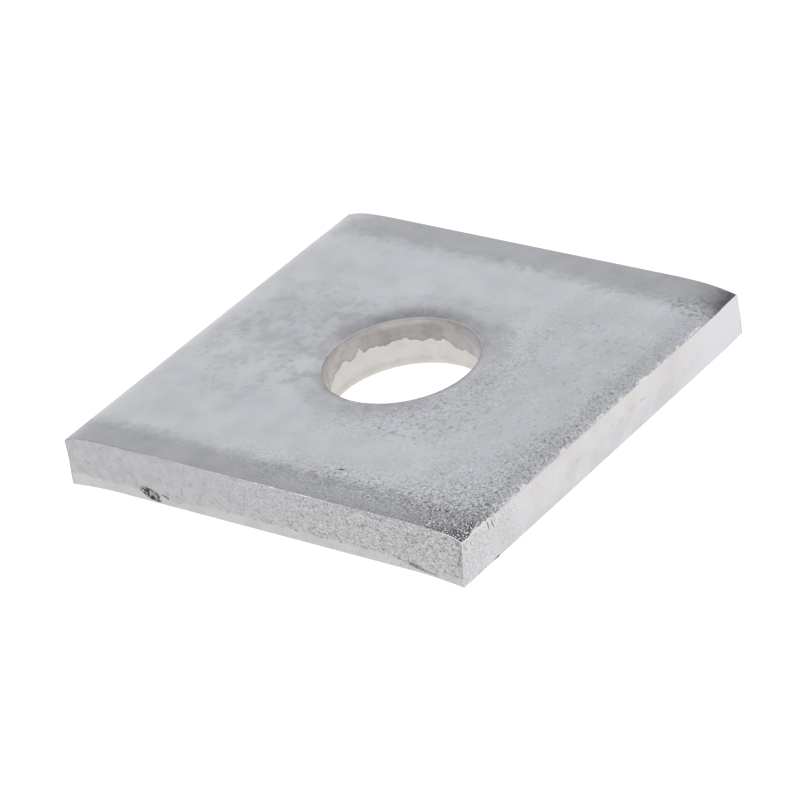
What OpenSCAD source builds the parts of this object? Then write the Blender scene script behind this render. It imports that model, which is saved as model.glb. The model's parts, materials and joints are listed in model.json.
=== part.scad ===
// Single hole bracket plate: a square washer plate cropped from flat bar, with one punched hole.
// Sizes are in millimetres. X runs along the bar, Y across it and Z up. The origin is on the
// surface that the plate lies on, under the middle of its overall length and width.

/* [Flat bar] */
// Width of the flat bar
bar_w = 40; // [30:0.5:60]
// Thickness of the flat bar
bar_t = 5; // [3:0.25:10]
// Width of the shallow shoulder along each long edge of the top face
shoulder_w = 4; // [1:0.25:8]
// How far the top face has fallen at each long edge
shoulder_fall = 0.23; // [0.05:0.01:0.6]

/* [Cropped ends] */
// Overall length, from the foot of the left end to the face of the right end
plate_len = 42; // [30:0.5:80]
// Length at each end that cropping has bent down, measured on the underside
bend_w = 5.7; // [3:0.1:9]
// Radius that cropping has bent the top face to, at each end
bend_r = 50; // [25:1:120]
// Width of the drawn lip along the top of each end
lip_w = 1.6; // [0.8:0.1:2.4]
// How far the top face falls across the lip
lip_fall = 0.76; // [0.4:0.02:1.2]
// Angle by which the lip starts off steeper than the bent top face
lip_break = 4; // [2:0.5:8]
// Height of the sheared land under the lip, above the torn face
end_land = 0.8; // [0.3:0.1:2]
// How far the torn face of the right end leans in at its foot
right_lean = 0.62; // [0.1:0.02:1]
// How far the torn face of the left end leans out at its foot
left_lean = 0.26; // [0.1:0.02:1]

/* [Punched hole] */
// Diameter of the sheared land of the hole, for an M12 bolt
hole_d = 13.6; // [6:0.1:20]
// How far the hole sits off the middle of the bar's width
hole_off = 0.3; // [-2:0.1:2]
// Width of the drawn rim round the hole
rim_w = 1.6; // [0.5:0.1:3]
// How far the top face has fallen across the rim
rim_fall = 0.37; // [0.1:0.01:0.6]
// Height of the sheared land of the hole, above the torn wall
hole_land = 2.2; // [1:0.1:3]
// How far the torn wall has opened out at the underside, on the radius
tear_out = 0.15; // [0.05:0.01:0.5]

/* [Hidden] */
$fn = 180;
// Room by which a cutting shape runs past what it cuts
past = 1;
// Heights are from the flat of the underside, until the finished plate is stood on its feet
underside_r = bend_r - bar_t;
foot_drop = underside_r - sqrt(pow(underside_r, 2) - pow(bend_w, 2));
right_face = plate_len / 2;
right_foot = right_face - right_lean;
left_foot = plate_len / 2;
left_face = left_foot - left_lean;
hole_r = hole_d / 2;
rim_z = bar_t - rim_fall;
tear_z = rim_z - hole_land;

// Radius of an arc that starts level and falls by this much over this run
function arc_radius(run, fall) = (run * run + fall * fall) / (2 * fall);

// Section across the bar, with a shallow shoulder at each side of the top
module bar_section() {
    r = arc_radius(shoulder_w, shoulder_fall);
    flat_w = bar_w / 2 - shoulder_w;
    intersection() {
        translate([-bar_w / 2, 0]) square([bar_w, bar_t]);
        union() {
            translate([-flat_w, 0]) square([2 * flat_w, bar_t]);
            for (side = [-1, 1]) translate([side * flat_w, bar_t - r]) circle(r);
        }
    }
}

// Stretch of bar that bends down from the plane x = start, towards +X
module bent_end(start) {
    angle = asin((bend_w + right_lean + past) / underside_r);
    translate([start, 0, bar_t - bend_r]) rotate([-90, 0, 0]) rotate([0, 0, -90])
        rotate_extrude(angle = angle) translate([underside_r, 0]) rotate(-90) bar_section();
}

// Flat bar with both ends bent down by the crop
module bent_bar() {
    right_start = right_foot - bend_w;
    left_start = left_foot - bend_w;
    translate([-left_start, 0, 0]) rotate([90, 0, 90])
        linear_extrude(left_start + right_start) bar_section();
    bent_end(right_start);
    mirror([1, 0, 0]) bent_end(left_start);
}

// Side view of one cut end, from the middle of the plate out: the lip's arc, the sheared land at
// x = face, and the torn face that reaches the floor at x = foot
module cut_end(face, foot) {
    run = face - lip_w - (foot - bend_w);
    lip_top = [face - lip_w, bar_t - bend_r + sqrt(pow(bend_r, 2) - pow(run, 2))];
    lip_edge = lip_top + [lip_w, -lip_fall];
    start_slope = asin(run / bend_r) + lip_break;
    half_turn = atan(lip_fall / lip_w) - start_slope;
    lip_r = norm([lip_w, lip_fall]) / 2 / sin(half_turn);
    centre = lip_top - lip_r * [sin(start_slope), cos(start_slope)];
    land_z = lip_edge[1] - end_land;
    low = -foot_drop - past;
    low_x = foot + past * (foot - face) / (land_z + foot_drop);
    intersection() {
        polygon([[0, low], [low_x, low], [face, land_z], [face, bar_t + past], [0, bar_t + past]]);
        union() {
            translate([0, low]) square([lip_top[0] - lip_r * sin(lip_break), bar_t + past - low]);
            translate([0, low]) square([plate_len, centre[1] - low]);
            translate(centre) circle(lip_r);
        }
    }
}

// Side view of both cuts
module crop_profile() {
    cut_end(right_face, right_foot);
    mirror([1, 0]) cut_end(left_face, left_foot);
}

// Space that the punch leaves: drawn rim, sheared land and torn wall
module punched_hole() {
    rim_r = arc_radius(rim_w, rim_fall);
    rotate_extrude() {
        polygon([[0, -past], [hole_r + tear_out, -past], [hole_r + tear_out, 0],
            [hole_r, tear_z], [hole_r, rim_z], [0, rim_z]]);
        difference() {
            translate([0, rim_z]) square([hole_r + rim_w, rim_fall + past]);
            translate([hole_r + rim_w, bar_t - rim_r]) circle(rim_r);
        }
    }
}

module plate() {
    color("silver") translate([0, 0, foot_drop]) difference() {
        intersection() {
            bent_bar();
            rotate([90, 0, 0]) linear_extrude(bar_w + 2 * past, center = true) crop_profile();
        }
        translate([0, hole_off, 0]) punched_hole();
    }
}

plate();
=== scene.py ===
# Looks of the single hole bracket plate: a near-square plate cropped from pickled flat bar, with
# one punched hole. Sizes are in millimetres until the plate is finished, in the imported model's
# frame: X along the bar, Y across it, Z up, with the origin on the floor under the plate's middle.
import functools
import json
import math

import bmesh
import bpy
from mathutils import Matrix, Vector, noise


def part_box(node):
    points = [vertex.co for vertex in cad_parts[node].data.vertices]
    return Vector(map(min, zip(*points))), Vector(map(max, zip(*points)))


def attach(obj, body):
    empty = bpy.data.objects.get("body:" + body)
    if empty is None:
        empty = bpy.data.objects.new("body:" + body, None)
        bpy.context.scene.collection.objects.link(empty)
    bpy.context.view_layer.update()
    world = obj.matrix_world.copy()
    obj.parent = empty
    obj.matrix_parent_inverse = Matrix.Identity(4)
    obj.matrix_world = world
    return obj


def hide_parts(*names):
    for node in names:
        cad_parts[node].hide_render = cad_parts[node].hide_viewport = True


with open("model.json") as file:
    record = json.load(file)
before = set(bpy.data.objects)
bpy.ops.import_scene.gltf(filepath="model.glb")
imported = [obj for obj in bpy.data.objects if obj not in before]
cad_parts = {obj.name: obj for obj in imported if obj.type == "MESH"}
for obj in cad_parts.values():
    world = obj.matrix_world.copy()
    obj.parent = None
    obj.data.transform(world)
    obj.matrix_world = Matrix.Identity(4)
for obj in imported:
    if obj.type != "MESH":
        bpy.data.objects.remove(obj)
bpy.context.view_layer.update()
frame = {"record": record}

MM = 0.001


def mount(name):
    """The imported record's mount of this name."""
    return next(m for m in frame["record"]["mounts"] if m["name"] == name)


# The plate, as the frame has it
LOW, HIGH = (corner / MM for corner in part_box("plate"))
TOP = HIGH.z
UNDER = mount("bottom_face")["pos_m"][2] / MM
HOLE_R = mount("bolt_hole")["dims"]["r_mm"]
HOLE_Y = mount("bolt_hole")["pos_m"][1] / MM

# The rolled bar's shoulders, along the long edges of the top face
SHOULDER_W = 4.0
SHOULDER_FALL = 0.23
SHOULDER_CURVE = 1.3

# The cropped ends
BEND_W = 5.7
BEND_R = 50.0
LEFT_LEAN = 0.26
RIGHT_LEAN = 0.62
RIGHT_LIP_Z = 4.373
LEFT_LIP_Z = 4.5
RIGHT_LIP_W = 1.7
LEFT_LIP_W = 2.2
# How much the bar's shoulders, where they cross the lips, narrow the right one and widen the left
SHOULDER_LIP = 0.6
# Height of the border between the right end's land and torn face at its front corner. Between two
# places along that end the border sinks, and the left end's is lower all along.
LAND_Z = 3.45
LAND_SINKS_FROM, LAND_SINKS_TO = -17.0, -8.0
RIGHT_LAND_LOWER = 0.75
LEFT_LAND_LOWER = 0.5
# How ragged the lip's edge and the border under the land are
RAGGED_LIP = 0.05
RAGGED_LAND = 0.16

# The right end's far corner: where its lip begins to rise and to widen, and by how much, where its
# foot begins to rise, and by how much, and how much of the torn face's lean is lost there
FAR_LIP_Y = 16.5
FAR_LIP_RISE = 0.14
FAR_WIDE_Y = 15.0
FAR_LIP_WIDER = 2.5
FAR_FOOT_X = 16.0
FAR_FOOT_Y = 17.5
FAR_FOOT_RISE = 0.6
FAR_LEAN_LOST = 0.8
# Where the right end's land begins to give way to one even slope, towards its front corner
EVEN_SLOPE_Y = -18.5

# The punched hole
RIM_W = 1.6
RIM_FALL = 0.37
TEAR_OUT = 0.15
# How far the torn wall steps back from the land above it, and how high the line of painted shade
# low on it runs
TEAR_STEP = 0.06
CREASE_H = 0.58
# Height of the torn wall's border at the hole's right, and how much higher it is at the far left
TEAR_Z = 1.95
TEAR_RISE = 0.78
# Height of the border's lobes, and how far their lowest points lie below it
LOBE_H = 0.38
LOBE_SINK = 0.04

# How rough the surfaces are: the rolled long edges, the land of an end, what its torn face adds,
# and the land and the torn wall of the hole
ROLLED_ROUGH = 0.012
LAND_ROUGH = 0.008
TORN_ROUGH = 0.012
HOLE_LAND_ROUGH = 0.006
HOLE_TORN_ROUGH = 0.02

# The smooth strip along the foot of the rolled long edges: its height, how ragged its border is,
# and how far the edge stands back above it
STRIP_Z = 1.38
RAGGED_STRIP = 0.13
STRIP_STEP = 0.012

# Waves in the rolled face: short and long ones, how far below the CAD's top their middle lies, and
# how far from the plate's edges they begin to fade
SHORT_WAVE = 0.01
LONG_WAVE = 0.015
WAVE_SINK = 0.02
WAVE_MARGIN = 2.0

# Width of the worn rounding on every sharp edge, and how far its middle lies inside the corner
EDGE = 0.09
SHARP = EDGE * (1 - math.sqrt(0.5))

# The mesh has this many columns round the plate, a quarter of them on each side
COLUMNS = 640
PER_SIDE = COLUMNS // 4
# Width of the stretch along each edge where the rows follow the outline
BORDER_W = 6.0

RIGHT, BACK, LEFT, FRONT = range(4)


def steps(count, start, stop, power=1.0):
    """Values from start to stop, closer together at the start when power is above 1."""
    return [start + (stop - start) * (i / (count - 1)) ** power for i in range(count)]


def arc_fall(radius, run):
    """How far an arc that starts level has fallen after this run."""
    return radius - math.sqrt(radius * radius - run * run)


def clamp(value, low=0.0, high=1.0):
    """The value, or the nearest one that isn't below low or above high."""
    return min(max(value, low), high)


def smooth(low, high, value):
    """0 below low, 1 above high, and smooth between them."""
    t = clamp((value - low) / (high - low))
    return t * t * (3 - 2 * t)


def near(value, centre, reach):
    """1 at the centre, falling to 0 by this reach on either side."""
    return smooth(reach, 0.0, abs(value - centre))


def ripple(point, size, octaves=1, seed=0.0):
    """Smooth noise of about -1 to 1, with bumps about as wide as size."""
    shift = Vector((seed, 1.7 * seed, 2.3 * seed))
    return noise.fractal(Vector(point) / size + shift, 1.0, 2.0, octaves)


def angle_of(column):
    """The angle round the hole at which a column lies."""
    return 2 * math.pi * column / COLUMNS


def shoulder_fall(y):
    """How far the rolled bar's top has fallen at y."""
    into = (SHOULDER_W - (HIGH.y - abs(y))) / SHOULDER_W
    return SHOULDER_FALL * max(into, 0.0) ** SHOULDER_CURVE


def bend_start(side):
    """Distance from the middle to where the crop has begun to bend an end down."""
    foot = HIGH.x - RIGHT_LEAN if side > 0 else -LOW.x
    return foot - BEND_W


def face_x(side):
    """Distance from the middle to the face of the right end, side 1, or of the left end, -1."""
    return HIGH.x if side > 0 else -LOW.x - LEFT_LEAN


def lip_height(side, y):
    """Height of a cut end's top edge."""
    if side < 0:
        return LEFT_LIP_Z
    rise = FAR_LIP_RISE * smooth(FAR_LIP_Y, HIGH.y, y)
    return RIGHT_LIP_Z + rise + RAGGED_LIP * ripple((0, y, 0), 1.6, 2, seed=91.0)


def top_height(x, y):
    """Height of the top face: shoulders, bent ends, drawn lips and the hole's drawn rim."""
    side = 1 if x > 0 else -1
    along, face = side * x, face_x(side)
    rolled = TOP - shoulder_fall(y)
    z = rolled - arc_fall(BEND_R, max(along - bend_start(side), 0.0))
    near_edge = shoulder_fall(y) / SHOULDER_FALL
    if side > 0:
        wider = FAR_LIP_WIDER * smooth(FAR_WIDE_Y, HIGH.y, y)
        lip_w = RIGHT_LIP_W - SHOULDER_LIP * near_edge + wider
    else:
        lip_w = LEFT_LIP_W + SHOULDER_LIP * near_edge
    lip_fall = rolled - arc_fall(BEND_R, face - bend_start(side)) - lip_height(side, y)
    into_lip = clamp(1 - (face - along) / lip_w)
    z -= lip_fall * into_lip ** 2
    into_rim = HOLE_R + RIM_W - math.hypot(x, y - HOLE_Y)
    if into_rim > 0:
        rim_arc = (RIM_W ** 2 + RIM_FALL ** 2) / (2 * RIM_FALL)
        z -= arc_fall(rim_arc, min(into_rim, RIM_W))
    inner = smooth(0.0, WAVE_MARGIN, HIGH.y - abs(y)) * smooth(0.0, WAVE_MARGIN, face - along)
    waves = SHORT_WAVE * ripple((x, y, 0), 2.2, 2, seed=3.0)
    waves += LONG_WAVE * ripple((x, y, 0), 7.0, 1, seed=8.0)
    return z + inner * (waves - WAVE_SINK)


def far_corner(y):
    """How far y has come along the right end's last stretch, where its foot stands out and up."""
    return clamp((y - FAR_FOOT_Y) / (HIGH.y - FAR_FOOT_Y))


def under_height(x, y):
    """Height of the underside, flat between the two bent ends that the plate stands on."""
    side = 1 if x > 0 else -1
    run = clamp(side * x - bend_start(side), high=BEND_W)
    under_arc = (BEND_W ** 2 + UNDER ** 2) / (2 * UNDER)
    rise = FAR_FOOT_RISE * far_corner(y) * smooth(FAR_FOOT_X, HIGH.x, x)
    return UNDER - arc_fall(under_arc, run) + rise


@functools.lru_cache(maxsize=None)
def land_z(side, y):
    """Height at which the sheared land of an end gives way to the torn face."""
    lower = LEFT_LAND_LOWER
    if side > 0:
        lower = RIGHT_LAND_LOWER * smooth(LAND_SINKS_FROM, LAND_SINKS_TO, y)
    return LAND_Z - lower + RAGGED_LAND * ripple((side, y, 0), 1.6, 3, seed=5.0)


def end_x(side, y, z):
    """X of an end's cut face at this height."""
    lean = -RIGHT_LEAN if side > 0 else LEFT_LEAN
    if side > 0:
        lean *= 1 - FAR_LEAN_LOST * far_corner(y)
    border = land_z(side, y)
    torn = clamp((border - z) / border)
    if side > 0 and y < EVEN_SLOPE_Y:
        even = clamp((RIGHT_LIP_Z - z) / RIGHT_LIP_Z)
        torn += (even - torn) * smooth(EVEN_SLOPE_Y, LOW.y, y)
    return side * (face_x(side) + lean * torn)


# Peaks of the torn wall's border round the hole: middle and reach in degrees, and height
TEAR_PEAKS = ((98.0, 8.0, 0.35), (126.0, 6.0, 0.15), (161.4, 4.5, 0.8), (177.0, 9.0, 0.2))


@functools.lru_cache(maxsize=None)
def tear_border(column):
    """Height at which the hole's land gives way to its torn wall: round lobes with sharp peaks
    between them, as the metal lets go."""
    angle = angle_of(column)
    degrees = math.degrees(angle)
    level = TEAR_Z + TEAR_RISE * smooth(50.0, 128.0, degrees)
    level -= TEAR_RISE * smooth(172.0, 215.0, degrees)
    around = (math.cos(angle), math.sin(angle), 0)
    # The lobes are flatter at the hole's right and on its near side
    lobes = max(0.0, 1 - 2.0 * abs(ripple(around, 0.16, 1, seed=11.0)))
    lobes *= 1 - 0.6 * smooth(70.0, 40.0, degrees) - 0.6 * smooth(205.0, 230.0, degrees)
    peaks = sum(high * max(0.0, 1 - abs(degrees - middle) / reach) ** 1.6
                for middle, reach, high in TEAR_PEAKS)
    return level - LOBE_SINK + LOBE_H * lobes + 0.08 * ripple(around, 0.05, 2, seed=14.0) + peaks


def column_place(column):
    """The side that a column is on and its distance from that side's first corner, as a share."""
    side, number = divmod((column + PER_SIDE // 2) % COLUMNS, PER_SIDE)
    length = HIGH.y - LOW.y
    if number == 0:
        return side, 0.0
    return side, (EDGE + (length - 2 * EDGE) * (number - 1) / (PER_SIDE - 2)) / length


def on_outline(side, share, inset, z):
    """A point of the outline that the plate has at this height, moved in by inset."""
    front, back = LOW.y + inset, HIGH.y - inset
    if side == RIGHT:
        y = front + (back - front) * share
        return end_x(1, y, z) - inset, y
    if side == LEFT:
        y = back + (front - back) * share
        return end_x(-1, y, z) + inset, y
    y = back if side == BACK else front
    right, left = end_x(1, y, z) - inset, end_x(-1, y, z) + inset
    if side == BACK:
        return right + (left - right) * share, y
    return left + (right - left) * share, y


def on_circle(column, radius):
    """A point of a circle round the hole."""
    angle = angle_of(column)
    return radius * math.cos(angle), HOLE_Y + radius * math.sin(angle)


def plan(part, value, column, z):
    """Where a row of the top or the underside puts this column, seen from above. The value is a
    radius by the rim, a distance from the edge in the border, and a share of the way between."""
    if part == "rim":
        return on_circle(column, value)
    side, share = column_place(column)
    if part == "border":
        return on_outline(side, share, value, z)
    inner = Vector(on_circle(column, HOLE_R + RIM_W))
    outer = Vector(on_outline(side, share, BORDER_W, z))
    return tuple(inner.lerp(outer, value))


@functools.lru_cache(maxsize=None)
def strip_border(x):
    """Height of the smooth strip along the foot of the bar's long edges. It has a waist at
    x = -9 and is narrower right of x = 14."""
    waist = 0.35 * math.exp(-(((x + 9) / 3) ** 2)) + 0.45 * smooth(14.2, 16.5, x)
    return STRIP_Z - waist + RAGGED_STRIP * ripple((x, 0, 0), 2.0, 3, seed=31.0)


# The middle of the corroded pit and of its tail in the front long edge
PIT_X, PIT_Z = -12.05, 1.1
TAIL_X, TAIL_Z = -10.4, 1.2
# The dents there, with a nick at the foot as the last: middle, reach along X and Z, and depth
DENTS = ((PIT_X, PIT_Z, 0.9, 0.45, 0.14), (TAIL_X, TAIL_Z, 0.4, 0.15, 0.05),
         (17.0, 0.5, 0.9, 0.2, 0.07))


def dent(x, z):
    """How deep the dents in the front long edge are here."""
    return sum(deep * math.exp(-(((x - mid_x) / reach_x) ** 2) - ((z - mid_z) / reach_z) ** 2)
               for mid_x, mid_z, reach_x, reach_z, deep in DENTS)


def bar_wall_relief(x, z):
    """How far the rough long edge of the bar lies inside the plate's width."""
    rough = ROLLED_ROUGH * (1 + ripple((x, 0, z), 0.55, 2, seed=21.0))
    return rough + STRIP_STEP * smooth(-0.1, 0.15, z - strip_border(x))


@functools.lru_cache(maxsize=None)
def wall_ends(column):
    """The heights of the outer wall's top edge and foot at this column."""
    side, share = column_place(column)
    x, y = on_outline(side, share, 0.0, TOP)
    foot_x, foot_y = on_outline(side, share, 0.0, 0.0)
    return top_height(x, y) - SHARP, under_height(foot_x, foot_y) + SHARP


def outer_wall(column, share_down, inset):
    """A point of the outer wall, at a share of the way from the top edge to the foot."""
    side, share = column_place(column)
    high, low = wall_ends(column)
    if 0 < share_down < 1:
        high, low = high - EDGE + SHARP, low + EDGE - SHARP
    z = high + (low - high) * share_down
    x, y = on_outline(side, share, inset, z)
    if side == FRONT:
        y += bar_wall_relief(x, z) + dent(x, z)
    elif side == BACK:
        y -= bar_wall_relief(x, z)
    else:
        end = 1 if side == RIGHT else -1
        torn = smooth(-0.1, 0.3, land_z(end, y) - z)
        rough = LAND_ROUGH + TORN_ROUGH * torn
        x -= end * rough * (1 + ripple((0, y, z), 0.5, 3, seed=41.0))
    return x, y, z


def hole_wall(column, share_up):
    """A point of the hole's wall, at a share of the way from the underside to the rim."""
    angle = angle_of(column)
    low, high = UNDER + EDGE, TOP - RIM_FALL - EDGE
    z = low + (high - low) * share_up
    border = tear_border(column)
    torn = smooth(0.0, 0.12, border - z)
    rough = ripple((HOLE_R * math.cos(angle), HOLE_R * math.sin(angle), z), 0.6, 3, seed=51.0)
    back = TEAR_STEP + (TEAR_OUT - TEAR_STEP) * (border - z) / border
    radius = HOLE_R + HOLE_LAND_ROUGH * rough + torn * (back + HOLE_TORN_ROUGH * rough)
    x, y = on_circle(column, radius)
    return x, y, z


# The outer wall's rows stop this share short of its corners, which have rows of their own
SHORT = 0.001

# The radius of the hole at the underside
FOOT_R = HOLE_R + TEAR_OUT

# The rows, round the plate's section: up the hole's wall, out over the top, down the outer wall
# and back along the underside. Each is a zone and the values that place its rows there.
SECTION = (
    ("hole", steps(32, 0.0, 1.0)),
    ("hole top", [HOLE_R + SHARP]),
    ("top rim", steps(11, HOLE_R + EDGE, HOLE_R + RIM_W)),
    ("top field", steps(19, 0.0, 1.0)[1:-1]),
    ("top border", steps(27, EDGE, BORDER_W, 1.5)[::-1]),
    ("top corner", [SHARP]),
    ("wall", steps(29, SHORT, 1 - SHORT)),
    ("foot corner", [SHARP]),
    ("under border", steps(9, EDGE, BORDER_W, 1.5)),
    ("under field", steps(7, 0.0, 1.0)[1:-1][::-1]),
    ("under rim", steps(5, FOOT_R + EDGE, HOLE_R + RIM_W)[::-1]),
    ("hole foot", [FOOT_R + SHARP]),
)
ROWS = [(zone, value) for zone, values in SECTION for value in values]

# The zones of the outer wall
WALL_ZONES = ("wall", "top corner", "foot corner")


def place(row, column):
    """Where the plate has the vertex of this row and column."""
    zone, value = ROWS[row]
    if zone == "hole":
        return hole_wall(column, value)
    if zone == "wall":
        return outer_wall(column, value, 0.0)
    if zone in ("top corner", "foot corner"):
        return outer_wall(column, 0.0 if zone == "top corner" else 1.0, value)
    if zone in ("hole top", "hole foot"):
        x, y = on_circle(column, value)
        return x, y, (TOP - RIM_FALL - SHARP if zone == "hole top" else UNDER + SHARP)
    level, part = zone.split()
    x, y = plan(part, value, column, TOP if level == "top" else 0.0)
    return x, y, (top_height(x, y) if level == "top" else under_height(x, y))


def ring_of_faces(rows, columns):
    """A closed ring: a circle of this many rows, spun round the Z axis in this many columns."""
    bm = bmesh.new()
    bmesh.ops.create_circle(bm, segments=rows, radius=1.0)
    stand = Matrix.Translation((2, 0, 0)) @ Matrix.Rotation(math.pi / 2, 4, "X")
    bmesh.ops.transform(bm, matrix=stand, verts=bm.verts)
    bmesh.ops.spin(bm, geom=bm.verts[:] + bm.edges[:], cent=(0, 0, 0), axis=(0, 0, 1),
                   angle=2 * math.pi, steps=columns, use_merge=True, use_duplicate=False)
    return bm


def row_and_column(co):
    """The row and column of a vertex of the spun ring."""
    column = round(math.atan2(co.y, co.x) * COLUMNS / (2 * math.pi)) % COLUMNS
    turn = math.atan2(co.z, math.hypot(co.x, co.y) - 2)
    return round(turn * len(ROWS) / (2 * math.pi)) % len(ROWS), column


# The next functions lay out the finishes over the plate, with its painted shade and painted
# highlights. Their places and reaches are in millimetres, out is the distance from the hole's
# middle, and up and along are the sine and cosine of the angle round it.


def grain_strength(x, y):
    """How coarse the pickled face's grain is: coarsest at the near corner, less so along the right
    end, along the front band, near the far corner and right of the hole, and worn off along the
    front edge."""
    from_end, from_front = HIGH.x - x, y - LOW.y
    out = math.hypot(x, y - HOLE_Y)
    corner = smooth(13.5, 1.0, math.hypot(0.8 * from_end, from_front))
    reach = 8.0 - 4.0 * smooth(-11.0, -3.0, y)
    by_end = (0.54 - 0.26 * smooth(-5.0, 12.0, y)) * smooth(reach, 0.3, from_end)
    by_front = 0.5 * smooth(-12.0, 10.0, x) * smooth(6.5, 3.0, from_front)
    by_far = 0.35 * smooth(5.5, 1.0, from_end) * near(y, 15.3, 3.5)
    by_hole = 0.27 * near(out, 10.0, 5.0) * smooth(7.4, 8.6, out) * smooth(-1.0, 7.0, x - y / 3)
    patchy = 1 + 0.3 * ripple((x, y, 0), 1.6, 2, seed=81.0)
    least = 0.1 * smooth(2.0, 12.0, x)
    worn = 1 - 0.35 * smooth(2.2, 0.5, from_front) * smooth(19.5, 16.0, x)
    return min(max(least, corner, by_end, by_front, by_far, by_hole) * patchy * worn, 1.0)


def band_depth(x, y):
    """How far inside the band of painted shade along a long edge of the rolled face this is, where
    its shoulder curves down. The bands fade towards the left end."""
    from_edge = HIGH.y - abs(y)
    if y > 0:
        width = 3.3 + 0.4 * smooth(6.0, 12.0, x)
    else:
        width = 2.5 + 0.3 * smooth(4.0, 10.0, x) - 0.5 * smooth(13.0, 17.0, x)
    wander = 0.35 * ripple((x, y, 0), 3.0, 2, seed=61.0)
    fade = 0.35 * (x + 17.6) if y > 0 else 0.6 * (x - LOW.x - 1.0)
    return min(width + wander - from_edge, fade)


def shade(x, y):
    """How dark the rolled face is, apart from its bands and its grain: mostly painted shade, with
    darker clouds in places.
    """
    # Painted shade at the near and the far right corner, where the lips tilt the face away, and
    # along the front edge
    from_end, from_front = max(HIGH.x - x, 0.0), y - LOW.y
    near_corner = 1.25 * math.exp(-from_end / 2.1 - from_front / 2.1)
    by_front = 0.1 * smooth(1.2, 0.1, from_front) * smooth(-4.0, 6.0, x)
    far = 0.8 * math.exp(-from_end / 1.3) * smooth(5.2, 0.8, HIGH.y - y)
    corners = near_corner + by_front + far

    # Painted shade round the hole, where its rim curves down: a ring on its far side, a weaker one
    # on its near side and its right, and a narrow dark stretch on the rim at its near left
    out = math.hypot(x, y - HOLE_Y)
    up, along = (y - HOLE_Y) / max(out, 0.1), x / max(out, 0.1)
    ring = 0.36 * smooth(0.0, 0.7, up) * clamp((10.4 - out) / 3.4) ** 1.5
    near_side = 0.22 * smooth(-0.35, -0.75, up) * smooth(-0.8, -0.35, along)
    near_side = max(near_side, 0.1 * smooth(0.2, 0.8, along))
    ring += near_side * smooth(10.2, 8.4, out)
    ring += 0.28 * smooth(-0.35, -0.75, up) * smooth(-0.1, -0.4, along) * smooth(7.9, 6.9, out)

    # A darker cloud left of the hole, the face right of it, and the band at the back, whose
    # painted shade is deeper right of x = 8 and lighter about x = 4.5
    cloud = max(0.0, 1 - ((x + 12.0) / 6.5) ** 2 - ((y - 2) / 8.0) ** 2)
    cloud = 0.13 * smooth(0.0, 0.9, cloud + 0.6 * ripple((x, y, 0), 2.6, 3, seed=71.0))
    beyond = 0.06 * smooth(7.0, 11.0, x) * smooth(13.0, 8.0, abs(y - 1))
    patchy = 0.04 * (smooth(8.0, 11.0, x) - smooth(3.5, 0.0, abs(x - 4.5)))
    patchy *= smooth(4.0, 2.0, HIGH.y - y)
    return clamp(corners + ring + cloud + beyond + patchy)


def brightened(x, y):
    """Where bright metal has come over the right end's top edge, with painted sparkle on it, and a
    painted highlight on the near side of the rim.
    """
    lip = smooth(0.45, 0.05, HIGH.x - x) * (0.45 + 0.6 * ripple((0, y, 0), 0.7, 3, seed=95.0))
    lip *= smooth(19.0, 16.5, y)
    out = max(math.hypot(x, y - HOLE_Y), 0.1)
    up, along = (y - HOLE_Y) / out, x / out
    rim = smooth(7.7, 7.2, out) * smooth(-0.2, -0.7, up) * smooth(-0.4, 0.1, along)
    return max(lip, 0.5 * rim)


def worn_edge(side, share):
    """How much painted glint the sharp edge above a wall gets. The front one glints most near x =
    5 and at its right end, the right one at its front corner and in two places further on."""
    if side == FRONT:
        x = LOW.x + (HIGH.x - LOW.x) * share
        most = max(1.3 * near(x, 5.0, 2.4), 0.75 * near(x, 1.0, 6.0), 1.4 * near(x, 20.2, 2.4))
        return max(0.55 * smooth(-13.0, -10.0, x), most)
    if side == RIGHT:
        y = LOW.y + (HIGH.y - LOW.y) * share
        return max(0.9 * smooth(-15.2, -16.6, y), 0.3, near(y, 5.9, 1.3), near(y, 8.9, 0.9))
    return 0.3


def land_shade(degrees, z):
    """How dark the smeared land of the hole is: pale along its top left, a painted highlight where
    the rim's edge catches light, and pale at its left end.
    """
    low = smooth(4.65, 4.2, z)
    left = smooth(95.0, 112.0, degrees)
    plain = 0.75 - 0.15 * low
    return plain * (1 - left) + left * (0.05 + low * (1 - smooth(130.0, 190.0, degrees)))


def hole_values(column, point):
    """The values of the hole's wall. Its grain says how far round to the right it is."""
    x, y, z = point
    degrees = math.degrees(math.atan2(y - HOLE_Y, x)) % 360
    right = smooth(88.0, 45.0, degrees) + smooth(260.0, 320.0, degrees)
    return right, tear_border(column) - z, land_shade(degrees, z), 0.0


def long_edge_values(side, zone, point, wear):
    """The values of the bar's long edges. The front one is darker by its upright corner, and along
    the left end of its top edge."""
    x, _, z = point
    if side == BACK:
        return 0.4, strip_border(x) - z, 0.0, wear
    grain = 0.05 + 0.75 * smooth(-16.0, 15.0, x)
    dull = smooth(1.3, 0.1, HIGH.x - x)
    if zone == "top corner":
        dull = max(dull, 0.7 * smooth(-11.0, -14.0, x))
    return grain, strip_border(x) - z, dull, wear


def end_values(side, point, wear):
    """The values of the cropped ends. The shade of the right one says how near its far end is."""
    _, y, z = point
    if side == LEFT:
        return 0.25, land_z(-1, y) - z, 0.3, wear
    grain = 0.65 - 0.57 * smooth(-19.5, -6.0, y)
    return grain, land_z(1, y) - z, 0.8 * smooth(10.0, 16.0, y), wear


# What the materials read at each vertex: how coarse the grain is, how far in millimetres it lies
# inside the border of a finish, how dark it is, partly painted shade, and how much painted
# highlight or bright metal it has
VALUES = ("grain", "depth", "shade", "wear")
# The values of the hidden underside: a light grain, far from any band, not darkened and without
# highlight
UNDER_VALUES = (0.3, -5.0, 0.0, 0.0)


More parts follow.
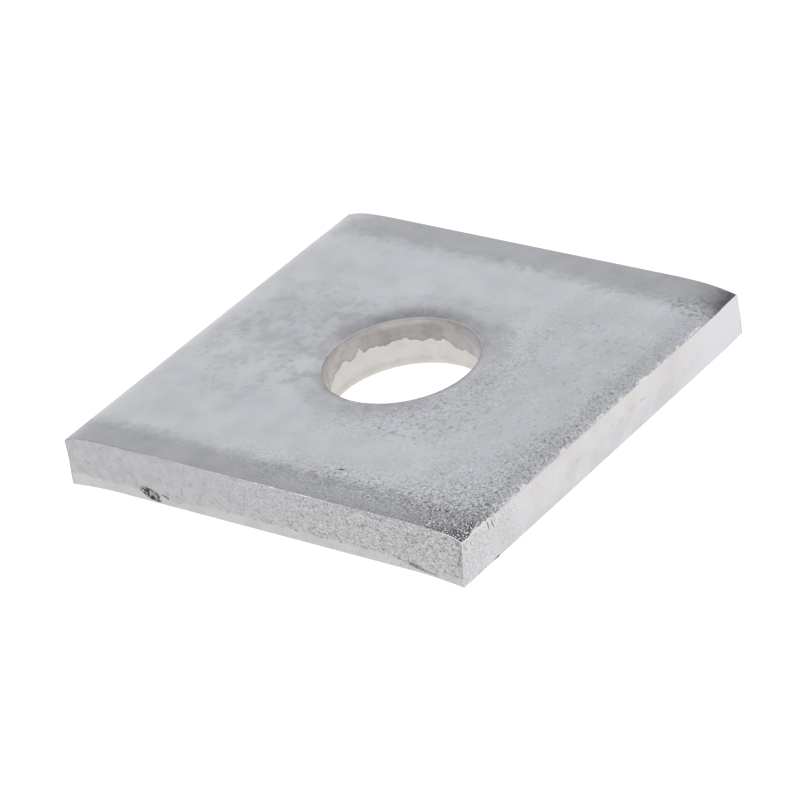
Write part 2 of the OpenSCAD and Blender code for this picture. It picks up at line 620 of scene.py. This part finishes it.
def surface_values(row, column, point):
    """The four values at a vertex."""
    zone = ROWS[row][0]
    if zone.startswith("hole"):
        return hole_values(column, point)
    if zone in WALL_ZONES:
        side, share = column_place(column)
        wear = worn_edge(side, share) if zone == "top corner" else 0.0
        if side in (FRONT, BACK):
            return long_edge_values(side, zone, point, wear)
        return end_values(side, point, wear)
    if zone.startswith("under"):
        return UNDER_VALUES
    x, y, _ = point
    return grain_strength(x, y), band_depth(x, y), shade(x, y), brightened(x, y)


# The places of the four finishes among the plate's materials
PICKLED, BAR_EDGE, CUT_END, PUNCHED = range(4)


def finish_of(zone, side):
    """Which of the plate's four finishes a face has."""
    if zone.startswith("hole"):
        return PUNCHED
    if zone in WALL_ZONES:
        return BAR_EDGE if side in (FRONT, BACK) else CUT_END
    return PICKLED


def first_of(numbers):
    """The first of a face's two rows or columns, which may be the last one and number 0."""
    return max(numbers) if max(numbers) - min(numbers) > 1 else min(numbers)


def make_plate():
    """The whole plate, as one closed mesh: a spun ring, drawn out to the plate's own shape."""
    bm = ring_of_faces(len(ROWS), COLUMNS)
    layers = [bm.verts.layers.float.new(name) for name in VALUES]
    where = {v: row_and_column(v.co) for v in bm.verts}
    for v, (row, column) in where.items():
        point = place(row, column)
        for layer, value in zip(layers, surface_values(row, column, point)):
            v[layer] = value
        v.co = Vector(clamp(*limits) for limits in zip(point, LOW, HIGH)) * MM
    for f in bm.faces:
        rows, columns = zip(*(where[v] for v in f.verts))
        row, column = first_of(rows), first_of(columns)
        f.material_index = finish_of(ROWS[row][0], column_place(column)[0])
        f.smooth = True
    bmesh.ops.recalc_face_normals(bm, faces=bm.faces)
    mesh = bpy.data.meshes.new("bracket_plate")
    bm.to_mesh(mesh)
    bm.free()
    plate = bpy.data.objects.new("bracket_plate", mesh)
    bpy.context.scene.collection.objects.link(plate)
    return plate


def colour(hex_code):
    """An sRGB hex colour as the linear one that a shader takes."""
    parts = [int(hex_code[i:i + 2], 16) / 255 for i in (1, 3, 5)]
    return [p / 12.92 if p <= 0.04045 else ((p + 0.055) / 1.055) ** 2.4 for p in parts] + [1.0]


def per_metre(size):
    """The scale of a pattern whose cells are this many millimetres across."""
    return 1 / (size * MM)


# The kinds of node that the finishes are made of. A RANGE takes a value, the two ends of its range
# and what these become, and a MULTIPLY_ADD takes a, b and c for a * b + c.
MATH, RANGE, MIX = "ShaderNodeMath", "ShaderNodeMapRange", "ShaderNodeMix"
NOISE, MAPPING, ATTRIBUTE = "ShaderNodeTexNoise", "ShaderNodeMapping", "ShaderNodeAttribute"


def add(tree, kind, inputs=(), output=None, **settings):
    """Adds a node of this kind with its settings, sets or links its inputs, in their order or by
    name, and gives back one of its outputs: the first, unless another is named."""
    made = tree.nodes.new(kind)
    for name, value in settings.items():
        setattr(made, name, value)
    live = [socket for socket in made.inputs if socket.enabled]
    for key, value in inputs.items() if isinstance(inputs, dict) else enumerate(inputs):
        socket = live[key] if isinstance(key, int) else made.inputs[key]
        if isinstance(value, bpy.types.NodeSocket):
            tree.links.new(value, socket)
        else:
            socket.default_value = value
    if output:
        return made.outputs[output]
    return next(socket for socket in made.outputs if socket.enabled)


def new_material(name, values=VALUES):
    """An empty material, its tree, its shader, its Object coordinates and the mesh's values."""
    material = bpy.data.materials.new(name)
    material.use_nodes = True
    tree = material.node_tree
    shader = tree.nodes["Principled BSDF"]
    place_of = add(tree, "ShaderNodeTexCoord", output="Object")
    read = [add(tree, ATTRIBUTE, output="Fac", attribute_name=value) for value in values]
    return material, tree, shader, place_of, *read


def mottle(tree, place_of, size, detail=3.0, rough=0.5, stretch=(1, 1, 1), turn=(0, 0, 0)):
    """Noise with patches about as wide as size, drawn out along an axis by stretch."""
    laid = add(tree, MAPPING, {"Vector": place_of, "Scale": stretch, "Rotation": turn},
               vector_type="TEXTURE")
    return add(tree, NOISE, {"Vector": laid, "Scale": per_metre(size), "Detail": detail,
                             "Roughness": rough})


def patches(tree, place_of, size, low, high, most=1.0, **kind):
    """0 where the mottle is below low, up to most where it is above high."""
    return add(tree, RANGE, (mottle(tree, place_of, size, **kind), low, high, 0.0, most),
               interpolation_type="SMOOTHSTEP")


def offset(tree, value, place_of, size, reach, **kind):
    """A value moved up and down by as much as reach, so that its borders come out ragged."""
    around = add(tree, MATH, (mottle(tree, place_of, size, **kind), 0.5), operation="SUBTRACT")
    return add(tree, MATH, (around, 2 * reach, value), operation="MULTIPLY_ADD")


def line_at(tree, value, reach, full, most=1.0):
    """Up to most where a value is within full of 0, and 0 where it is further off than reach."""
    away = add(tree, MATH, (value,), operation="ABSOLUTE")
    return add(tree, RANGE, (away, reach, full, 0.0, most), interpolation_type="SMOOTHSTEP")


def curls(tree, place_of, size, reach, full, most=1.0):
    """Thin lines that curl round patches about as wide as size."""
    around = add(tree, MATH, (mottle(tree, place_of, size, 1.0), 0.5), operation="SUBTRACT")
    return line_at(tree, around, reach, full, most)


def rubbed(tree, wear, place_of, size):
    """Where an edge gets a painted glint, in patches about as wide as size."""
    broken = offset(tree, wear, place_of, size, 0.7, detail=2.0)
    return add(tree, RANGE, (broken, 0.45, 0.75, 0.0, 1.0), interpolation_type="SMOOTHSTEP")


def coated(tree, tone, *coats):
    """Tone under coats of other colours, each showing by the product of its shares."""
    for hex_code, share, *others in coats:
        for other in others:
            share = add(tree, MATH, (share, other), operation="MULTIPLY")
        tone = add(tree, MIX, (share, tone, colour(hex_code)), data_type="RGBA")
    return tone


def spot(tree, place_of, centre, reach, turn=(0, 0, 0), ragged=0.5, most=1.0):
    """As much as most inside an ellipsoid of this centre and reach in millimetres, and 0 outside
    its ragged border."""
    centre, reach = [c * MM for c in centre], [r * MM for r in reach]
    inside = add(tree, MAPPING, (place_of, centre, turn, reach), vector_type="TEXTURE")
    out = add(tree, "ShaderNodeVectorMath", (inside,), output="Value", operation="LENGTH")
    rough = offset(tree, out, place_of, 0.3, ragged)
    return add(tree, RANGE, (rough, 1.1, 0.8, 0.0, most), interpolation_type="SMOOTHSTEP")


# The pits of the grain: the level of the pattern below which they lie, how much grain raises it,
# how soft their borders are and how dark they get
PIT_LEVEL, PIT_RISE, PIT_SOFT, PIT_MOST = 0.4, 0.06, 0.03, 0.52
# The crystals: the levels between which they come up, and how bright they get
CRYSTAL_FROM, CRYSTAL_TO, CRYSTAL_MOST = 0.57, 0.66, 0.6


def etched(tree, tone, place_of, size, grain, dark, bright, **kind):
    """Tone with dark pits and bright crystals, more of both where grain is higher. Gives the
    pattern's height as well."""
    pebbles = mottle(tree, place_of, size, 1.5, 0.6, **kind)
    level = add(tree, MATH, (grain, PIT_RISE, PIT_LEVEL), operation="MULTIPLY_ADD")
    below = add(tree, MATH, (level, pebbles), operation="SUBTRACT")
    pits = add(tree, RANGE, (below, -PIT_SOFT, PIT_SOFT, 0.0, PIT_MOST),
               interpolation_type="SMOOTHSTEP")
    crystals = add(tree, RANGE, (pebbles, CRYSTAL_FROM, CRYSTAL_TO, 0.0, CRYSTAL_MOST),
                   interpolation_type="SMOOTHSTEP")
    return coated(tree, tone, (dark, pits, grain), (bright, crystals, grain)), pebbles


def finish(tree, shader, tone, height, deep, roughness):
    """Puts a metal's colour, relief and roughness on its shader. The relief is this many
    millimetres deep."""
    bump = add(tree, "ShaderNodeBump", {"Height": height, "Strength": 1.0, "Distance": deep * MM})
    tree.links.new(bump, shader.inputs["Normal"])
    tree.links.new(tone, shader.inputs["Base Color"])
    shader.inputs["Metallic"].default_value = 1.0
    if isinstance(roughness, bpy.types.NodeSocket):
        tree.links.new(roughness, shader.inputs["Roughness"])
    else:
        shader.inputs["Roughness"].default_value = roughness


def pickled_steel():
    """Hot rolled steel, annealed and pickled: bare, bluish grey and cloudy, with the pebble grain
    that the acid leaves. Painted shade darkens a band along each rolled edge, where the shoulder
    curves down, the face round the hole's rim and the right corners, and painted sparkle and
    highlights brighten it in places. The grain is drawn 0.2 mm wide, about twice the real one, so
    that it shows."""
    material, tree, shader, place_of, grain, depth, dull, wear = new_material(
        "pickled rolled steel")
    tone = coated(tree, colour("#BFC1C6"),
                  ("#BBBDC1", patches(tree, place_of, 3.0, 0.3, 0.7)),
                  ("#BFBDC9", patches(tree, place_of, 2.1, 0.54, 0.62, 0.35)),
                  ("#B3B5B9", patches(tree, place_of, 0.9, 0.58, 0.66, 0.3, detail=4.0)))

    # The bands of painted shade where the shoulders curve down, whose borders wander by up to 1.4
    # mm, and break up into specks up to 1.7 mm further out where the grain is coarse. The face's
    # own darkening, mostly painted shade, is added to them.
    speck = add(tree, MATH, (grain, 3.4), operation="MULTIPLY")
    around = add(tree, MATH, (mottle(tree, place_of, 0.22, 2.0, 0.7), 0.5), operation="SUBTRACT")
    depth = offset(tree, depth, place_of, 0.9, 1.4, detail=5.0, rough=0.68)
    depth = add(tree, MATH, (around, speck, depth), operation="MULTIPLY_ADD")
    softness = add(tree, RANGE, (grain, 0.1, 0.5, 0.6, 0.35))
    into = add(tree, MATH, (depth, softness), operation="DIVIDE")
    band = add(tree, RANGE, (into, -2.6, 1.0, 0.0, 0.33), interpolation_type="SMOOTHSTEP")
    broken = offset(tree, 1.0, place_of, 0.9, 0.8, detail=4.0, rough=0.65)
    dull = add(tree, MATH, (dull, broken, band), operation="MULTIPLY_ADD")
    dull = add(tree, MATH, (dull, 0.96), operation="MINIMUM")

    # Faint curls in the cloud left of the hole and round its rim, and marks along the bands
    curl = curls(tree, place_of, 1.8, 0.06, 0.01, 0.23)
    curl = add(tree, MATH, (curl, patches(tree, place_of, 1.1, 0.5, 0.6)), operation="MULTIPLY")
    mottled = patches(tree, place_of, 1.5, 0.45, 0.65, 0.16, detail=2.0)
    curl = add(tree, MATH, (curl, mottled), operation="MAXIMUM")
    cloud = spot(tree, place_of, (-11.5, -1.0, TOP), (7.5, 9.5, 3.0), ragged=0.4)
    rim = spot(tree, place_of, (0.0, HOLE_Y, TOP), (10.5, 10.5, 3.0), ragged=0.6, most=0.8)
    beside = line_at(tree, into, 2.0, 0.2)
    marks = patches(tree, place_of, 0.4, 0.55, 0.62, 0.9, detail=1.0)
    # Painted shade and the darker clouds take the tone towards #58585C first
    tone = coated(tree, tone, ("#58585C", dull), ("#7C7D82", curl, cloud), ("#7C7D82", curl, rim),
                  ("#66666A", marks, beside, add(tree, RANGE, (grain, 0.0, 0.3, 0.1, 0.3))))

    # Broken loops in front of the hole, and blotches at the far right corner
    loops = curls(tree, place_of, 0.8, 0.05, 0.01, 0.4)
    by_hole = spot(tree, place_of, (6.5, -5.0, TOP), (7.0, 6.5, 3.0))
    corner = spot(tree, place_of, (19.4, 16.2, TOP), (2.8, 1.7, 3.0), most=0.4)
    tone = coated(tree, tone,
                  ("#6E6F74", loops, by_hole, patches(tree, place_of, 0.6, 0.46, 0.54)),
                  ("#606166", corner, patches(tree, place_of, 0.45, 0.5, 0.62)))

    # The grain: pebbles, strokes between them, and painted sparkle, white glints, where the
    # painted shade is nearly black
    black = add(tree, RANGE, (dull, 0.3, 0.6, 0.0, 1.0), interpolation_type="SMOOTHSTEP")
    fewer = add(tree, MATH, (black, -0.8, 1.0), operation="MULTIPLY_ADD")
    fewer = add(tree, MATH, (fewer, grain), operation="MULTIPLY")
    tone, pebbles = etched(tree, tone, place_of, 0.2, fewer, "#3E3E44", "#F4F4F8")
    strokes = curls(tree, place_of, 0.32, 0.05, 0.02)
    short = patches(tree, place_of, 0.3, 0.5, 0.56, detail=1.0)
    dots = patches(tree, place_of, 0.12, 0.63, 0.68, 0.9, detail=0.0)
    coarse = add(tree, RANGE, (grain, 0.4, 0.8, 0.0, 1.0))
    tone = coated(tree, tone, ("#3A3A3E", strokes, short, grain), ("#FFFFFF", dots, black, coarse))

    # Dark and pale flecks right of the hole, three stains left of it, a fleck of scale in front of
    # it, and the bright metal that has come over the right end's edge, with painted sparkle on it
    # and a painted highlight on the rim's near side
    beyond = spot(tree, place_of, (14.0, 0.0, TOP), (11.0, 15.0, 3.0))
    tone = coated(tree, tone, ("#85868B", patches(tree, place_of, 0.6, 0.6, 0.68, 0.3), beyond),
                  ("#D6D7DC", patches(tree, place_of, 0.5, 0.62, 0.7, 0.35), beyond))
    for x, y, reach in ((-9.99, -3.24, 0.5), (-15.83, -1.04, 0.6), (-7.76, -4.98, 0.7)):
        stain = spot(tree, place_of, (x, y, TOP), (reach, 0.8 * reach, 1.0), most=0.14)
        tone = coated(tree, tone, ("#6A6A70", stain))
    fleck = spot(tree, place_of, (6.12, -15.94, TOP), (0.3, 0.09, 1.0), (0, 0, 0.3))
    smear = offset(tree, wear, place_of, 0.22, 0.5, detail=2.0)
    smear = add(tree, RANGE, (smear, 0.4, 0.6, 0.0, 0.8), interpolation_type="SMOOTHSTEP")
    tone = coated(tree, tone, ("#38383A", fleck), ("#E4E2E3", smear))
    height = add(tree, MATH, (pebbles, grain), operation="MULTIPLY")
    # About 0.35, a little more or less in clouds 3 mm wide
    roughness = patches(tree, place_of, 3.0, -1.5, 2.5, 0.7)
    finish(tree, shader, tone, height, 0.015, roughness)
    return material


def bar_edge_steel():
    """The bar's rolled long edge: mottled grey with fine slanting pits, over a smoother, lighter
    strip at its foot. The sharp edge above it has a painted glint in places."""
    material, tree, shader, place_of, grain, depth, dull, wear = new_material("rolled edge steel")
    slant = {"stretch": (2.4, 1, 1), "turn": (0, 0.45, 0)}
    upper = coated(tree, colour("#BAB9BC"),
                   ("#B2B1B4", patches(tree, place_of, 0.9, 0.38, 0.62, detail=3.0)),
                   ("#9D9A99", patches(tree, place_of, 0.6, 0.6, 0.7, 0.6, detail=3.0)),
                   ("#C0BFC2", grain))
    upper, pebbles = etched(tree, upper, place_of, 0.1, grain, "#6E6A69", "#E6E5E6", **slant)
    dark_strokes = patches(tree, place_of, 0.13, 0.6, 0.66, 0.85, detail=1.0, **slant)
    upper = coated(tree, upper, ("#6A6460", dark_strokes, grain),
                   ("#5E5854", patches(tree, place_of, 0.5, 0.45, 0.6, 0.7, rough=0.65), dull))

    # The strip at the foot, with more grain by the right corner, and the beaded line along its
    # border
    strip = coated(tree, colour("#C9C7C6"), ("#C0BEBD", patches(tree, place_of, 1.4, 0.3, 0.7)))
    faint = add(tree, RANGE, (grain, 0.76, 0.8, 0.2, 0.6))
    strip, _ = etched(tree, strip, place_of, 0.15, faint, "#8A8684", "#D8D7D8")
    edge = offset(tree, depth, place_of, 0.6, 0.45, rough=0.6)
    into = add(tree, RANGE, (edge, -0.1, 0.16, 0.0, 1.0), interpolation_type="SMOOTHSTEP")
    tone = add(tree, MIX, (into, upper, strip), data_type="RGBA")
    line = line_at(tree, edge, 0.16, 0.02, 0.9)
    beads = patches(tree, place_of, 0.45, 0.55, 0.68, detail=2.0)
    tone = coated(tree, tone, ("#6A6562", line, beads, grain))

    # The black pit with its grey middle and its tail, the nick and chips near the right corner,
    # and the painted glint along the top edge
    slope = (0, 0.35, 0)
    pitted = spot(tree, place_of, (PIT_X, LOW.y, PIT_Z), (1.15, 1.0, 0.55), slope, 0.9)
    grey = spot(tree, place_of, (-11.8, LOW.y, 1.08), (0.5, 1.0, 0.26), slope, 0.8, 0.8)
    tail = spot(tree, place_of, (TAIL_X, LOW.y, TAIL_Z), (0.5, 1.0, 0.1), slope, 0.4)
    nick = spot(tree, place_of, (15.3, LOW.y, 1.05), (0.9, 1.0, 0.2), (0, 0.1, 0), 1.1, 0.8)
    chips = spot(tree, place_of, (16.6, LOW.y, 0.7), (1.3, 1.0, 0.1), (0, 0.12, 0), 1.0, 0.8)
    crumbs = patches(tree, place_of, 0.3, 0.36, 0.48)
    tone = coated(tree, tone, ("#3C3B3A", pitted, crumbs), ("#A3A09E", grey), ("#6B6866", tail),
                  ("#6F6A66", nick, crumbs), ("#5A5552", chips, crumbs),
                  ("#FFFFFF", rubbed(tree, wear, place_of, 0.8)))
    finish(tree, shader, tone, pebbles, 0.012, 0.4)
    return material


def cropped_steel():
    """The end that the crop has cut: a sheared land over a pale torn face, cloudy, with a faint
    crack here and there between the two and fine ribs down the land near its front corner."""
    material, tree, shader, place_of, grain, depth, far_end, wear = new_material("cropped steel")
    clouds = patches(tree, place_of, 2.0, 0.3, 0.7)
    land = coated(tree, colour("#D3D0CF"), ("#DAD7D8", clouds), ("#DCDBE0", far_end))
    torn_tone = coated(tree, colour("#CCCBCD"), ("#D6D5D8", clouds), ("#DCDCE1", far_end))
    edge = offset(tree, depth, place_of, 0.8, 0.5, rough=0.6)
    into = add(tree, RANGE, (edge, -0.4, 0.5, 0.0, 1.0), interpolation_type="SMOOTHSTEP")
    tone = add(tree, MIX, (into, land, torn_tone), data_type="RGBA")
    tone, pebbles = etched(tree, tone, place_of, 0.16, grain, "#7E7C7D", "#F4F4F4")

    # The ribs down the land by the front corner, and the faint crack under its middle
    ribs = {"stretch": (1, 1, 5), "turn": (0.15, 0, 0)}
    on_land = add(tree, RANGE, (edge, 0.1, -0.3, 0.0, 0.5), interpolation_type="SMOOTHSTEP")
    by_corner = add(tree, RANGE, (grain, 0.3, 0.6, 0.0, 1.0), interpolation_type="SMOOTHSTEP")
    ribbed = patches(tree, place_of, 0.2, 0.55, 0.65, detail=1.0, **ribs)
    tone = coated(tree, tone, ("#8C8985", ribbed, on_land, by_corner))
    line = line_at(tree, edge, 0.09, 0.02, 0.35)
    middle = spot(tree, place_of, (HIGH.x, 0.0, 2.7), (2.0, 6.5, 2.0), ragged=0.2)
    crack = patches(tree, place_of, 1.6, 0.5, 0.6)
    tone = coated(tree, tone, ("#8A8684", line, middle, crack))

    # Two scratches, a chip at the foot and the painted glint along the top edge
    for y, z, tilt in ((-16.54, 3.96, 0.1), (-15.97, 3.8, 0.2)):
        scratch = spot(tree, place_of, (HIGH.x, y, z), (1.0, 0.055, 0.5), (tilt, 0, 0), 0.2, 0.8)
        tone = coated(tree, tone, ("#4E4C49", scratch))
    chip = spot(tree, place_of, (HIGH.x - RIGHT_LEAN, -15.45, 0.1), (1.0, 0.36, 0.14))
    tone = coated(tree, tone, ("#4A4846", chip),
                  ("#FAFAFA", rubbed(tree, wear, place_of, 0.7)))
    finish(tree, shader, tone, pebbles, 0.01, 0.42)
    return material


def punched_steel():
    """The hole's wall: a smeared, grey-beige sheared land, darkest where it ends, over the pale
    matt wall that the slug tore away."""
    material, tree, shader, place_of, right, depth, dark = new_material(
        "punched steel", VALUES[:3])
    # Where the land's darkness is low along its top left, its paler tone is a painted highlight of
    # the rim's edge
    dark = offset(tree, dark, place_of, 0.9, 0.5, rough=0.6, stretch=(1, 1, 0.6))
    land = coated(tree, colour("#C2BEBC"), ("#ACA8A6", dark), ("#C0C0C4", right),
                  ("#8E8884", patches(tree, place_of, 1.3, 0.4, 0.7, 0.4, rough=0.65), dark),
                  ("#A0A098", patches(tree, place_of, 1.3, 0.52, 0.6, 0.35)))
    jag = offset(tree, depth, place_of, 0.3, 0.16)
    line = add(tree, RANGE, (jag, -0.3, -0.04, 0.0, 0.4), interpolation_type="SMOOTHSTEP")
    land = coated(tree, land, ("#8C8785", line))

    # The torn wall, with a darker line of painted shade round it near its foot, at the height set
    # for that line above the underside
    height = add(tree, "ShaderNodeSeparateXYZ", (place_of,), output="Z")
    height = offset(tree, height, place_of, 1.5, 0.15 * MM)
    height = add(tree, MATH, (height, (UNDER + CREASE_H) * MM), operation="SUBTRACT")
    crease = line_at(tree, height, 0.5 * MM, 0.0, 0.7)
    torn_tone = coated(tree, colour("#D5D1CE"),
                       ("#D0CCC9", patches(tree, place_of, 1.6, 0.35, 0.65)),
                       ("#C2BDB9", crease, patches(tree, place_of, 1.8, 0.35, 0.6)))
    torn = add(tree, RANGE, (jag, -0.03, 0.04, 0.0, 1.0), interpolation_type="SMOOTHSTEP")
    tone = add(tree, MIX, (torn, land, torn_tone), data_type="RGBA")
    relief = add(tree, MATH, (mottle(tree, place_of, 0.25), torn), operation="MULTIPLY")
    finish(tree, shader, tone, relief, 0.015, 0.42)
    return material


# The camera, as solved from the photo's edges and corners: angles in degrees, the rest in
# millimetres
CAMERA_AZIMUTH = 42.681
CAMERA_ELEVATION = 30.379
CAMERA_ROLL = -11.677
CAMERA_SENSOR = 36.0
CAMERA_LENS = 190.87
CAMERA_DISTANCE = 355.04
CAMERA_TARGET = Vector((1.17, -2.085, 2.68))


def make_camera():
    """The camera at the photo's angle."""
    data = bpy.data.cameras.new("camera")
    data.sensor_width = CAMERA_SENSOR
    data.lens = CAMERA_LENS
    data.clip_start = 0.01
    camera = bpy.data.objects.new("camera", data)
    azimuth, elevation = math.radians(CAMERA_AZIMUTH), math.radians(CAMERA_ELEVATION)
    turn = (Matrix.Rotation(azimuth, 4, "Z") @ Matrix.Rotation(math.pi / 2 - elevation, 4, "X")
            @ Matrix.Rotation(math.radians(CAMERA_ROLL), 4, "Z"))
    back = turn.to_3x3() @ Vector((0, 0, 1))
    camera.matrix_world = Matrix.Translation((CAMERA_TARGET + back * CAMERA_DISTANCE) * MM) @ turn
    bpy.context.scene.collection.objects.link(camera)
    bpy.context.scene.camera = camera


# The floor's radius in metres, its grey and how much it glows
FLOOR_R = 6.0
FLOOR_GREY = 0.12
FLOOR_GLOW = 0.98


def make_floor():
    """A plain pale floor, bright enough to be white in the render."""
    bm = bmesh.new()
    bmesh.ops.create_circle(bm, cap_ends=True, segments=64, radius=FLOOR_R)
    mesh = bpy.data.meshes.new("floor")
    bm.to_mesh(mesh)
    bm.free()
    floor = bpy.data.objects.new("floor", mesh)
    bpy.context.scene.collection.objects.link(floor)
    material = bpy.data.materials.new("pale floor")
    material.use_nodes = True
    shader = material.node_tree.nodes["Principled BSDF"]
    shader.inputs["Base Color"].default_value = (FLOOR_GREY, FLOOR_GREY, FLOOR_GREY, 1)
    shader.inputs["Roughness"].default_value = 1.0
    shader.inputs["Specular IOR Level"].default_value = 0.0
    shader.inputs["Emission Color"].default_value = (1, 1, 1, 1)
    shader.inputs["Emission Strength"].default_value = FLOOR_GLOW
    mesh.materials.append(material)


# Brightness of the soft studio light by the sine of its height above the horizon
STUDIO = ((0.0, 1.0), (0.45, 1.05), (0.6, 1.05), (0.76, 0.9), (0.88, 0.7), (0.95, 0.65),
          (1.0, 0.85))


def make_light():
    """Soft studio light: a pale band low all round and a soft box overhead."""
    world = bpy.data.worlds.new("studio")
    bpy.context.scene.world = world
    world.use_nodes = True
    tree = world.node_tree
    direction = add(tree, "ShaderNodeTexCoord", output="Generated")
    height = add(tree, "ShaderNodeSeparateXYZ", (direction,), output="Z")
    level = add(tree, "ShaderNodeValToRGB", (height,))
    elements = level.node.color_ramp.elements
    while len(elements) < len(STUDIO):
        elements.new(0.5)
    brightest = max(bright for _, bright in STUDIO)
    # All the places come before the colours, because a stop that moves past another changes number
    for element, (at, _) in zip(elements, STUDIO):
        element.position = at
    for element, (_, bright) in zip(elements, STUDIO):
        element.color = (bright / brightest,) * 3 + (1,)
    background = tree.nodes["Background"]
    tree.links.new(level, background.inputs["Color"])
    background.inputs["Strength"].default_value = brightest
    bpy.context.scene.view_settings.view_transform = "Standard"


make_camera()
plate = make_plate()
for steel in (pickled_steel(), bar_edge_steel(), cropped_steel(), punched_steel()):
    plate.data.materials.append(steel)
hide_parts("plate")
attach(plate, "root")
make_floor()
make_light()
